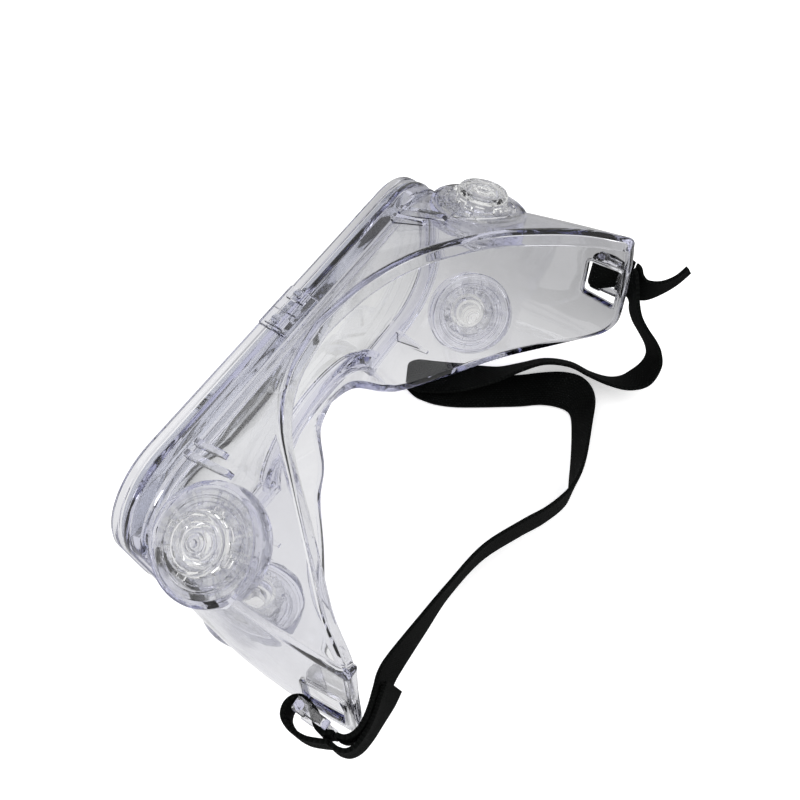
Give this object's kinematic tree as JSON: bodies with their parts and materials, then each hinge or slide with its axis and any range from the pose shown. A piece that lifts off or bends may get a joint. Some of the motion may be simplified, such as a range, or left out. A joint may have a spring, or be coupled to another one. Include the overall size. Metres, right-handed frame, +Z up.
{
  "type": "safety goggles",
  "caption": "Clear splash-proof safety goggles: one moulded mask with a flat lens, capped indirect vents, strap clips in its temples and an elastic head strap.",
  "frame": {"origin": "centre of the goggles' footprint on the table they stand on, measured without the strap", "axes": "+X to the wearer's left, -Y the way the lens faces, +Z up"},
  "size_m": [0.1934, 0.1034, 0.0815],
  "materials": {
    "clear_vinyl": "gloss",
    "lens_plastic": "gloss",
    "vent_plastic": "satin",
    "clip_plastic": "gloss",
    "strap_elastic": "woven"
  },
  "bodies": {
    "mask": {"mask_body": "clear_vinyl", "face_lip": "clear_vinyl", "lens_frame": "clear_vinyl", "lens_latch": "clear_vinyl", "vent_seat_top_left": "vent_plastic", "vent_seat_top_right": "vent_plastic", "vent_seat_low_left": "vent_plastic", "vent_seat_low_right": "vent_plastic", "vent_retainer_top_left": "vent_plastic", "vent_retainer_top_right": "vent_plastic", "vent_retainer_low_left": "vent_plastic", "vent_retainer_low_right": "vent_plastic", "strap_main": "strap_elastic", "strap_hem": "strap_elastic"},
    "lens": {"lens": "lens_plastic"},
    "cap_top_left": {"vent_cap_top_left": "vent_plastic"},
    "cap_top_right": {"vent_cap_top_right": "vent_plastic"},
    "cap_low_left": {"vent_cap_low_left": "vent_plastic"},
    "cap_low_right": {"vent_cap_low_right": "vent_plastic"},
    "clip_left": {"buckle_left": "clip_plastic", "strap_wrap_left": "strap_elastic"},
    "clip_right": {"buckle_right": "clip_plastic", "strap_wrap_right": "strap_elastic", "strap_tail": "strap_elastic"}
  },
  "joints": [
    {"name": "lens_pull", "type": "slide", "parent": "mask", "child": "lens", "axis": [0, -1, 0], "range_m": [0, 0.012]},
    {"name": "cap_turn_top_left", "type": "hinge", "parent": "mask", "child": "cap_top_left", "pos_m": [0.0676, -0.011, 0.067], "axis": [0.3746, 0, 0.9272], "continuous": true},
    {"name": "cap_turn_low_left", "type": "hinge", "parent": "mask", "child": "cap_low_left", "pos_m": [0.0676, -0.011, 0.0092], "axis": [0.454, 0, -0.891], "continuous": true},
    {"name": "cap_turn_top_right", "type": "hinge", "parent": "mask", "child": "cap_top_right", "pos_m": [-0.0676, -0.011, 0.067], "axis": [-0.3746, 0, 0.9272], "continuous": true},
    {"name": "cap_turn_low_right", "type": "hinge", "parent": "mask", "child": "cap_low_right", "pos_m": [-0.0676, -0.011, 0.0092], "axis": [-0.454, 0, -0.891], "continuous": true},
    {"name": "clip_swing_left", "type": "hinge", "parent": "mask", "child": "clip_left", "pos_m": [0.0844, 0.0359, 0.0435], "axis": [0, 0, -1], "range_deg": [-8, 25], "deforming": ["strap_wrap_left"]},
    {"name": "clip_swing_right", "type": "hinge", "parent": "mask", "child": "clip_right", "pos_m": [-0.0844, 0.0359, 0.0435], "axis": [0, 0, 1], "range_deg": [-8, 25], "deforming": ["strap_wrap_right", "strap_tail"]}
  ]
}
